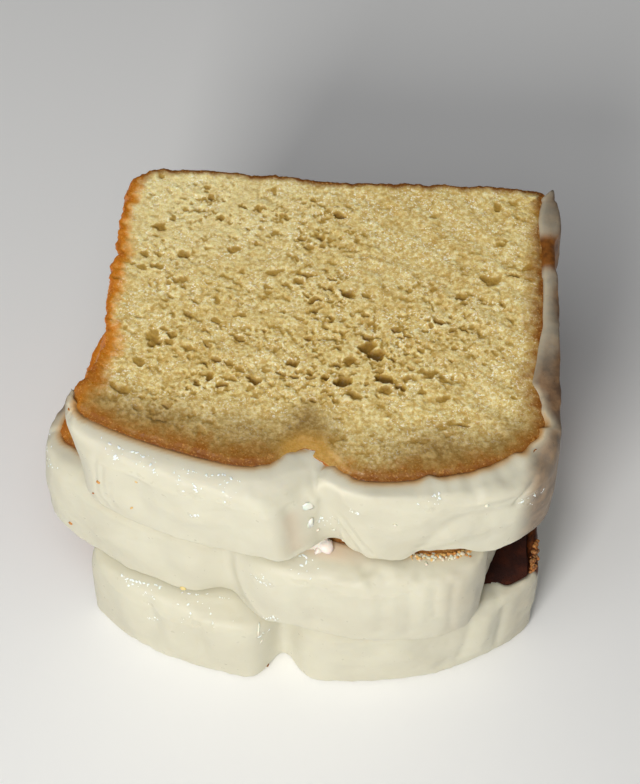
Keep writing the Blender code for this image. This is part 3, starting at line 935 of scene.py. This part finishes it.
def cake_material():
    """Golden crumb, browned towards the tin and the crown: pores darker, with painted shade; pale torn rims
    kept to the side towards the key light, partly painted light; painted glints; painted shade in the bottom
    slice's gap.
    """
    n = Nodes("crumb")
    pore_shade, brown, gap_shade = n.attribute("pore_shade"), n.attribute("brown"), n.attribute("gap_shade")
    clusters, flecks = n.noise(0.95, 2.5, 0.62), n.noise(0.55, 2, 0.6)
    level = n.spread(n.attribute("level"), -1, 1, 0.18, 0.82)
    shade = n.math("ADD", level, n.spread(clusters, 0.3, 0.7, -0.25, 0.25))
    body = n.ramp(
        shade, (0.12, 196, 162, 86), (0.4, 220, 196, 126), (0.62, 232, 214, 148), (0.9, 246, 236, 190)
    )
    body = n.tint(body, n.noise(9, 3, 0.5), 0.38, 0.66, 0.25, 216, 186, 104)
    # Painted light: paler towards the back left.
    body = n.mix(n.scaled("back_left_light", 0.5), body, (248, 238, 182))
    body = n.mix(n.spread(clusters, 0.38, 0.48, 0.22, 0), body, (206, 164, 82))
    body = n.tint(body, clusters, 0.52, 0.62, 0.3, 250, 244, 204)
    # Pale pit rims on their side towards the key light: partly painted light.
    body = n.tint(body, n.attribute("rim"), 0.2, 1, 0.5, 255, 248, 212)
    # Painted glints: white flecks in patches stand for tiny highlights on the crumb.
    patches = n.spread(n.noise(4.5, 2, 0.5), 0.42, 0.6, 0.15, 1)
    glints = n.math("MULTIPLY", n.spread(flecks, 0.56, 0.63, 0, 0.85), patches)
    body = n.mix(glints, body, (255, 252, 230))
    # Painted shade in the pores: darker golden colour, heaviest on their near sides.
    body = n.tint(body, pore_shade, 0.05, 0.28, 0.9, 180, 144, 58)
    body = n.tint(body, pore_shade, 0.3, 1.1, 0.92, 142, 104, 26)
    # Darker colour towards the front crust.
    front_colour = n.between(shade, 0.3, 0.7, (136, 104, 46), (180, 148, 86))
    body = n.mix(n.scaled("front_darkening", 0.94), body, front_colour)
    body = n.tint(body, n.attribute("moist"), 0.1, 0.9, 0.8, 196, 150, 62)

    orange = n.ramp(brown, (0, 224, 172, 76), (0.35, 220, 146, 38), (0.7, 208, 132, 22), (1, 182, 104, 20))
    deep = n.ramp(brown, (0, 172, 136, 64), (0.3, 144, 98, 28), (0.65, 128, 77, 12), (1, 112, 62, 10))
    crust = n.mix(n.attribute("warmth"), deep, orange)
    crust = n.tint(crust, flecks, 0.56, 0.68, 0.4, 236, 178, 90)
    crust = n.tint(crust, n.noise(0.8, 3, 0.6), 0.64, 0.74, 0.45, 100, 54, 16)
    colour = n.mix(n.spread(brown, 0, 0.75), body, crust)

    skin = n.ramp(n.noise(6, 5, 0.6), (0.3, 120, 66, 24), (0.52, 166, 102, 42), (0.75, 204, 148, 78))
    skin = n.mix(n.scaled("warmth", 0.55), skin, (204, 122, 44))
    skin = n.tint(skin, n.noise(1.1, 3, 0.6), 0.6, 0.72, 0.6, 92, 48, 18)
    colour = n.mix(n.attribute("wall"), colour, skin)
    # Near-black brown: painted shade of the gap.
    gap_shade_colour = n.between(n.noise(5), 0.4, 0.65, (46, 14, 4), (78, 30, 8))
    normal = n.bump(clusters, 0.7, 0.34)
    return n.finish({
        "Base Color": n.mix(gap_shade, colour, gap_shade_colour),
        "Normal": n.bump(n.noise(0.42, 2, 0.6), 0.5, 0.1, normal),
        "Roughness": n.math("MAXIMUM", n.spread(n.noise(0.6, 2), 0.54, 0.64, 0.72, 0.2), gap_shade),
        "Diffuse Roughness": 1,
        "Subsurface Weight": 0.22,
        "Subsurface Radius": (1, 0.62, 0.22),
        "Subsurface Scale": 0.0006,
        "Specular IOR Level": 0.45,
    })


def icing_material():
    """Set sugar icing: creamy white, softly glossy, a little translucent over the crust, with painted shade
    at its right end and in the bottom slice's gap, painted warm shade beside the crack and painted light on
    its top face.
    """
    n = Nodes("icing")
    inner = n.attribute("inner")
    body = n.between(n.noise(13, 3, 0.5), 0.3, 0.7, (204, 199, 178), (212, 208, 187))
    body = n.tint(body, n.noise(4, 4, 0.6), 0.62, 0.8, 0.35, 208, 197, 170)
    # Crust brown under thinner icing, also painted shade at the right end.
    crust_through_and_shade = n.between(n.noise(3.6, 4, 0.6), 0.36, 0.62, (144, 106, 68), (90, 56, 28))
    body = n.mix(n.scaled("thin_and_shade", 0.92), body, crust_through_and_shade)
    # Painted light on the icing's upward face.
    body = n.mix(n.scaled("painted_top_light", 0.7), body, (228, 223, 202))
    bleed = n.ramp(inner, (0, 208, 203, 182), (0.3, 208, 196, 168), (0.6, 203, 177, 138), (1, 190, 144, 88))
    body = n.mix(n.spread(inner, 0.05, 0.45), body, bleed)
    # Warm tint: painted shade in the top slice's hollow, a pinkish tint on the middle slice.
    body = n.mix(n.scaled("blush_and_shade", 0.75), body, (200, 174, 146))
    crust = n.between(n.noise(1.8), 0.36, 0.64, (150, 92, 30), (112, 64, 16))
    body = n.mix(n.attribute("bare"), body, crust)
    # Near-black brown: painted shade of the gap.
    gap_shade_colour = n.between(n.noise(1.4), 0.4, 0.65, (48, 16, 5), (104, 52, 16))
    normal = n.bump(n.noise(3.2, 2, 0.45), 0.08, 0.6)
    wet = n.math("MULTIPLY", n.attribute("wet"), n.spread(n.noise(2.4, 3, 0.6), 0.42, 0.58))
    sparkle = n.noise(0.65, 2, 0.6)
    gloss = n.spread(n.noise(1.6, 4), 0.6, 0.72, 0.5, 0.2)
    return n.finish({
        "Base Color": n.mix(n.attribute("gap_shade"), body, gap_shade_colour),
        "Normal": n.bump(sparkle, n.spread(wet, 0.1, 0.7, 0.02, 0.6), 0.3, normal),
        "Roughness": n.spread(wet, 0.15, 0.6, gloss, 0.09),
        "Subsurface Weight": 0.3,
        "Subsurface Radius": (1, 0.8, 0.5),
        "Subsurface Scale": 0.0016,
        "Specular IOR Level": 0.42,
    })


def crumb_bits_material():
    """Loose crumbs, from golden to deep brown."""
    n = Nodes("crumb_bits")
    body = n.ramp(
        n.attribute("tone"), (0, 226, 200, 136), (0.4, 214, 150, 70), (0.7, 176, 100, 40), (1, 104, 54, 24)
    )
    return n.finish({
        "Base Color": n.tint(body, n.noise(0.4, 3, 0.6), 0.4, 0.7, 0.4, 236, 196, 124),
        "Normal": n.bump(n.noise(0.3, 3, 0.7), 0.6, 0.2),
        "Roughness": 0.6,
    })


def icing_bits_material():
    """Flakes, squeezed lumps and white specks painted as glints, some tinted."""
    n = Nodes("icing_bits")
    body = n.between(n.noise(1.5, 3), 0.35, 0.65, (220, 216, 196), (228, 224, 206))
    for key, colour in ICING_TINTS.items():
        body = n.mix(n.attribute(key), body, colour)
    return n.finish({
        "Base Color": body,
        "Normal": n.bump(n.noise(0.5, 3, 0.6), 0.35, 0.2),
        "Roughness": 0.25,
        "Subsurface Weight": 0.2,
        "Subsurface Scale": 0.001,
    })


# ---- camera, floor and light

CAMERA_ELEVATION = 55  # degrees above the floor
CAMERA_ROLL = 1.5
CAMERA_DISTANCE = 0.59
CAMERA_LENS = 110.2
LOOK_AT = Vector((0.0046, 0.0082, 0.042))
LIGHTS_AIM = Vector((0, -0.01, 0.045))
LIGHTS = (
    # name, place, width and height, power, colour
    ("key", (-0.22, -0.62, 0.47), (0.26, 0.26), 3.9, (1, 0.985, 0.95)),
    ("low", (0.38, -0.68, 0.1), (0.5, 0.2), 0.7, (1, 0.99, 0.96)),
    ("fill", (-0.2, -0.46, 1), (0.8, 0.7), 4.4, (1, 1, 1)),
)
SKY = {"Color": (0.93, 0.96, 1, 1), "Strength": 0.08}
FLOOR_HALF_SIZE = 3


def add_camera():
    data = bpy.data.cameras.new("camera")
    data.lens, data.clip_start = CAMERA_LENS, 0.01
    turn = Matrix.Rotation(math.radians(90 - CAMERA_ELEVATION), 4, "X")
    turn @= Matrix.Rotation(math.radians(CAMERA_ROLL), 4, "Z")
    camera = new_object("camera", data)
    camera.matrix_world = Matrix.Translation(LOOK_AT) @ turn @ Matrix.Translation((0, 0, CAMERA_DISTANCE))
    bpy.context.scene.camera = camera


def add_floor():
    mesh = bmesh.new()
    bmesh.ops.create_grid(mesh, x_segments=1, y_segments=1, size=FLOOR_HALF_SIZE)
    data = bpy.data.meshes.new("floor")
    mesh.to_mesh(data)
    mesh.free()
    data.materials.append(Nodes("floor").finish({"Base Color": srgb(243, 243, 242), "Roughness": 0.9}))
    new_object("floor", data)


def add_studio():
    add_camera()
    add_floor()
    for name, place, size, power, colour in LIGHTS:
        data = bpy.data.lights.new(name, "AREA")
        data.shape = "RECTANGLE"
        data.size, data.size_y = size
        data.energy, data.color = power, colour
        light = new_object(name, data)
        light.location = Vector(place)
        light.rotation_euler = (LIGHTS_AIM - light.location).to_track_quat("-Z", "Y").to_euler()
    world = bpy.data.worlds.new("studio")
    world.use_nodes = True
    for key, value in SKY.items():
        world.node_tree.nodes["Background"].inputs[key].default_value = value
    bpy.context.scene.world = world
    bpy.context.scene.view_settings.view_transform = "Standard"


# ---- the loaf

CRUMB_BITS = (
    # slice, (u, v, w), half sizes, lean, roughness, colour values
    ("top", (-49.6, -11.6, 13.3), (0.55, 0.4, 0.3), 20, 0.25, {"tone": 0.45}),
    ("top", (-50.6, -9, 6), (0.3, 0.25, 0.22), 0, 0.25, {"tone": 0.75}),
    ("top", (-42.1, -14.2, 7.1), (0.5, 0.25, 0.2), 50, 0.25, {"tone": 0.15}),
    ("top", (-40.7, -15.1, 18.4), (0.35, 0.25, 0.18), 10, 0.25, {"tone": 0.1}),
    ("middle", (-45.2, -11.3, 5.4), (0.6, 0.42, 0.34), 30, 0.3, {"tone": 0.6}),
    ("top", (-11.2, 36.4, 25.6), (0.55, 0.45, 0.4), 0, 0.25, {"tone": 0.42}),
    ("bottom", (-10.6, None, 1.6), (0.5, 0.3, 0.3), 40, 0.3, {"tone": 0.95}),
)
ICING_TINTS = {
    "pink": (244, 226, 222),
    "yellow": (226, 206, 140),
    "plain": (207, 202, 181),
    # Near-white colour of painted glints.
    "glint": (255, 255, 250),
}
ICING_BITS = (
    # The first two flakes take a share of the glint colour: painted light.
    ("top", (-1.6, -17.6, 18.2), (1.05, 1.25, 0.12), 15, 0.6, {"glint": 0.4}),
    ("top", (-0.9, -18.3, 11.8), (0.8, 1.9, 0.12), 4, 0.6, {"glint": 0.4}),
    ("top", (0.4, -17.2, 8.3), (0.45, 0.4, 0.25), 0, 0.22, {}),
    ("top", (4.4, -17.2, 7.3), (0.4, 0.5, 0.25), 0, 0.22, {}),
    ("top", (6.4, -17.2, 3.3), (0.4, 0.4, 0.25), 0, 0.22, {}),
    ("middle", (15.8, -9, 26.2), (2.8, 2.2, 2.1), 10, 0.28, {"pink": 0.45}),
    ("middle", (18.6, -9.3, 26.2), (2.1, 1.7, 1.6), -20, 0.28, {"pink": 0.7}),
    ("middle", (13.6, -9.3, 26.2), (1.6, 1.3, 1.1), 0, 0.28, {"pink": 0.8}),
    ("middle", (15.2, -10.4, 26.2), (1.5, 1, 0.9), 30, 0.3, {"pink": 0.4}),
    ("middle", (17.6, -10.6, 26.2), (1.2, 0.9, 0.8), 60, 0.3, {"pink": 0.6}),
    ("top", (38.2, -16.8, 21.3), (0.55, 0.5, 0.45), 0, 0.12, {}),
    ("top", (18.2, -20.7, 17.4), (0.45, 0.35, 0.3), 0, 0.12, {}),
    ("bottom", (-12, -17.3, 23.1), (1.9, 0.3, 0.22), 65, 0.2, {}),
    ("bottom", (-11.8, -17.1, 16.9), (0.9, 0.25, 0.2), 60, 0.2, {}),
    ("middle", (-14.1, -17.2, 1.6), (0.8, 0.6, 0.45), 0, 0.15, {"yellow": 1}),
)

# Bits strewn in the gaps that open at the front: slice, line from and to, count, spread, seed, sizes, tones.
CRUMB_ROWS = (
    ("middle", (38.6, -5, 26), (50.6, -0.2, 26), 90, (0.6, 0.8, 0.2), 41, (0.18, 0.5), (0.1, 0.6)),
    # Darker tones here, partly painted shade of the gap.
    ("bottom", (53, 0.8, 25.6), (54.2, 9, 25.6), 60, (0.6, 0.6, 0.3), 42, (0.18, 0.6), (0.6, 1)),
)
ICING_ROWS = (
    ("middle", (38.8, -5.2, 26), (49.6, -1.2, 26), 44, (0.5, 0.7, 0.1), 43, (0.25, 0.6), (0.1, 0.6)),
)


def strewn(rows, key, **others):
    """Small bits along lines, each with its own value of one colour."""
    bits = []
    for where, start, end, count, spread, seed, reach, tones in rows:
        draws = np.random.default_rng(seed)
        shares = (np.arange(count) + draws.uniform(0.1, 0.9, count)) / count
        line = np.array(start) + (np.array(end) - np.array(start)) * shares[:, None]
        spots = line + draws.normal(0, 1, (count, 3)) * np.array(spread)
        draws = np.random.default_rng(seed + 100)
        for spot in spots:
            size = reach[0] + (reach[1] - reach[0]) * draws.uniform() ** 2
            sizes = (size * draws.uniform(0.8, 1.5), size, size * 0.8)
            lean = draws.uniform(0, 180)
            bits.append((where, tuple(spot), sizes, lean, 0.3, {key: draws.uniform(*tones)} | others))
    return bits


def glints():
    """Flat white specks in the glittering places: painted glints."""
    bits = []
    draws = np.random.default_rng(61)
    for where, spots in WET_SPOTS.items():
        for u, w, radius in spots:
            for across, up in draws.normal(0, 0.5, (round(5 * radius), 2)) * (radius, 0.6 * radius):
                size = 0.08 + 0.2 * draws.uniform() ** 2
                spot = (u + across, None, min(max(w + up, 0.8), 25.2))
                sizes = (size * draws.uniform(1, 2.4), size, 0.06)
                bits.append((where, spot, sizes, draws.uniform(0, 180), 0.2, {"glint": 1}))
    return bits


def main():
    crumb, icing = cake_material(), icing_material()
    pieces, matrices, hosts = [], {}, {}
    for index, name in enumerate(TURNS):
        matrices[name] = slice_matrix(name)
        cake = make_cake(name, matrices[name], crumb, 100 * index)
        hosts[name] = make_icing(name, matrices[name], icing, 100 * index + 500)
        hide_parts(f"{name}_slice_cake")
        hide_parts(f"{name}_slice_icing")
        pieces += [(cake, "crumb"), (hosts[name], "icing")]
    bpy.context.view_layer.update()
    crumbs = [*CRUMB_BITS, *strewn(CRUMB_ROWS, "tone")]
    flakes = [*ICING_BITS, *strewn(ICING_ROWS, "pink", yellow=0.25, plain=0.55), *glints()]
    crumbs = make_bits("crumb_bits", hosts, matrices, crumbs, ("tone",), crumb_bits_material())
    flakes = make_bits("icing_bits", hosts, matrices, flakes, ICING_TINTS, icing_bits_material())
    for piece, slot in pieces + [(crumbs, "crumb"), (flakes, "icing")]:
        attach(piece, "root")
    add_studio()


main()
